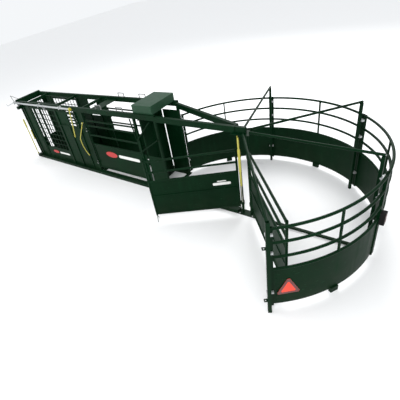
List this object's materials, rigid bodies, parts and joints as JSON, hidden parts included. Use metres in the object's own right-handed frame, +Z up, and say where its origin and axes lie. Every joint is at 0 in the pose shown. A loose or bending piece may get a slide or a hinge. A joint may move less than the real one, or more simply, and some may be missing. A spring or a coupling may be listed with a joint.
{
  "type": "cattle squeeze chute",
  "caption": "Portable squeeze chute with head gate, squeeze sides, side-gated alley, hooded tail doors and a round sheeted sweep tub with swinging gates.",
  "frame": {"origin": "on the ground under the middle foot plate, midway between the two round hinge posts of the tub", "axes": "-X along the chute towards the head gate, +Y away from the operator's side, +Z up"},
  "size_m": [11.788, 4.8734, 2.491],
  "materials": {
    "green": "gloss enamel, scuffed",
    "light_green": "sun-faded enamel",
    "galvanised": "galvanised",
    "yellow": "gloss enamel",
    "dark_steel": "black oxide",
    "orange": "fluorescent sheet",
    "black_plastic": "moulded",
    "rope": "braided polyester"
  },
  "bodies": {
    "frame": {"skids": "green", "floor_pan": "green", "posts_near": "green", "posts_far": "green", "beams": "green", "head_crossbeam": "green", "overhead_ties": "green", "fixed_sheets": "green", "head_gate_tracks": "green", "access_door_rails": "green", "tail_walls": "green", "tail_track": "green", "overhead_frame": "green", "apex_plate": "green", "hinge_posts": "green", "centre_foot": "green", "spreader_bar": "green", "tall_posts": "green", "end_post": "green", "overhead_braces": "green", "fence_panel_1": "green", "fence_panel_2": "green", "fence_panel_3": "green", "fence_panel_4": "green", "hood": "light_green", "shaft_bearings": "galvanised", "chute_hinge_lugs": "galvanised", "panel_clamps": "galvanised", "marker_triangle": "orange", "lamp_box": "black_plastic"},
    "head_door_near": {"head_door_near": "green"},
    "head_door_far": {"head_door_far": "green"},
    "operating_shaft": {"operating_shaft": "galvanised", "shaft_lever": "yellow"},
    "head_lever": {"head_lever": "yellow", "head_lever_grip": "yellow"},
    "head_latch": {"head_latch_handle": "yellow"},
    "squeeze_near": {"squeeze_frame_near": "green", "squeeze_bars_near": "green", "squeeze_sheet_near": "green"},
    "squeeze_far": {"squeeze_frame_far": "green", "squeeze_bars_far": "green", "squeeze_sheet_far": "green"},
    "squeeze_lever": {"squeeze_lever": "yellow"},
    "access_door": {"access_door": "green"},
    "alley_door_near": {"alley_door_near": "green"},
    "alley_door_far": {"alley_door_far": "green"},
    "lift_handle_1": {"lift_handle_1": "dark_steel"},
    "lift_handle_2": {"lift_handle_2": "dark_steel"},
    "lift_handle_3": {"lift_handle_3": "dark_steel"},
    "lift_handle_4": {"lift_handle_4": "dark_steel"},
    "tail_door_near": {"tail_door_near": "green", "tail_braces": "green"},
    "tail_door_far": {"tail_door_far": "green"},
    "entry_gate": {"entry_gate": "green", "entry_gate_sheet": "green"},
    "sweep_gate": {"sweep_gate": "green", "sweep_gate_sheet": "green"},
    "gate_latch": {"gate_latch_lever": "yellow", "pull_rope": "rope"}
  },
  "joints": [
    {"name": "head_door_near_slide", "type": "slide", "parent": "frame", "child": "head_door_near", "axis": [0, -1, 0], "range_m": [0, 0.235]},
    {"name": "head_door_far_slide", "type": "slide", "parent": "frame", "child": "head_door_far", "axis": [0, 1, 0], "range_m": [0, 0.235]},
    {"name": "operating_shaft_turn", "type": "hinge", "parent": "frame", "child": "operating_shaft", "pos_m": [0, -0.11, 2.225], "axis": [-1, 0, 0], "range_deg": [0, 60]},
    {"name": "head_lever_swing", "type": "hinge", "parent": "frame", "child": "head_lever", "pos_m": [-9.02, -0.1, 0.14], "axis": [0, 1, 0], "range_deg": [-20, 5]},
    {"name": "head_latch_turn", "type": "hinge", "parent": "frame", "child": "head_latch", "pos_m": [-8.855, -0.054, 0.79], "axis": [0, 1, 0], "range_deg": [-35, 0]},
    {"name": "squeeze_near_swing", "type": "hinge", "parent": "frame", "child": "squeeze_near", "pos_m": [0, 0, 0.132], "axis": [-1, 0, 0], "range_deg": [0, 8]},
    {"name": "squeeze_far_swing", "type": "hinge", "parent": "frame", "child": "squeeze_far", "pos_m": [0, 0.94, 0.132], "axis": [1, 0, 0], "range_deg": [0, 8]},
    {"name": "squeeze_lever_swing", "type": "hinge", "parent": "frame", "child": "squeeze_lever", "pos_m": [-5.29, -0.078, 1.79], "axis": [0, 1, 0], "range_deg": [0, 45]},
    {"name": "access_door_slide", "type": "slide", "parent": "frame", "child": "access_door", "axis": [-1, 0, 0], "range_m": [0, 0.45]},
    {"name": "alley_door_near_swing", "type": "hinge", "parent": "frame", "child": "alley_door_near", "pos_m": [-5.216, -0.052, 0], "axis": [0, 0, -1], "range_deg": [0, 95]},
    {"name": "alley_door_far_swing", "type": "hinge", "parent": "frame", "child": "alley_door_far", "pos_m": [-5.216, 0.992, 0], "axis": [0, 0, 1], "range_deg": [0, 95]},
    {"name": "lift_handle_1_lift", "type": "slide", "parent": "frame", "child": "lift_handle_1", "axis": [0, 0, 1], "range_m": [0, 0.045]},
    {"name": "lift_handle_2_lift", "type": "slide", "parent": "frame", "child": "lift_handle_2", "axis": [0, 0, 1], "range_m": [0, 0.045]},
    {"name": "lift_handle_3_lift", "type": "slide", "parent": "frame", "child": "lift_handle_3", "axis": [0, 0, 1], "range_m": [0, 0.045]},
    {"name": "lift_handle_4_lift", "type": "slide", "parent": "frame", "child": "lift_handle_4", "axis": [0, 0, 1], "range_m": [0, 0.045]},
    {"name": "tail_door_near_slide", "type": "slide", "parent": "frame", "child": "tail_door_near", "axis": [0, -1, 0], "range_m": [0, 0.35]},
    {"name": "tail_door_far_slide", "type": "slide", "parent": "frame", "child": "tail_door_far", "axis": [0, 1, 0], "range_m": [0, 0.35]},
    {"name": "entry_gate_swing", "type": "hinge", "parent": "frame", "child": "entry_gate", "pos_m": [-0.105, 0, 0], "axis": [0, 0, 1], "range_deg": [-25, 45]},
    {"name": "sweep_gate_swing", "type": "hinge", "parent": "frame", "child": "sweep_gate", "pos_m": [0.105, 0, 0], "axis": [0, 0, 1], "range_deg": [0, 198]},
    {"name": "gate_latch_swing", "type": "hinge", "parent": "frame", "child": "gate_latch", "pos_m": [-0.059, -0.083, 2.043], "axis": [-1, 0, 0], "range_deg": [0, 25]}
  ],
  "couplings": [
    {"joint": "head_door_far_slide", "follows": "head_door_near_slide", "ratio": 1},
    {"joint": "operating_shaft_turn", "follows": "head_door_near_slide", "rad_per_m": 4.4487},
    {"joint": "squeeze_far_swing", "follows": "squeeze_near_swing", "ratio": 1},
    {"joint": "squeeze_lever_swing", "follows": "squeeze_near_swing", "ratio": 5.6125},
    {"joint": "tail_door_far_slide", "follows": "tail_door_near_slide", "ratio": 1}
  ]
}
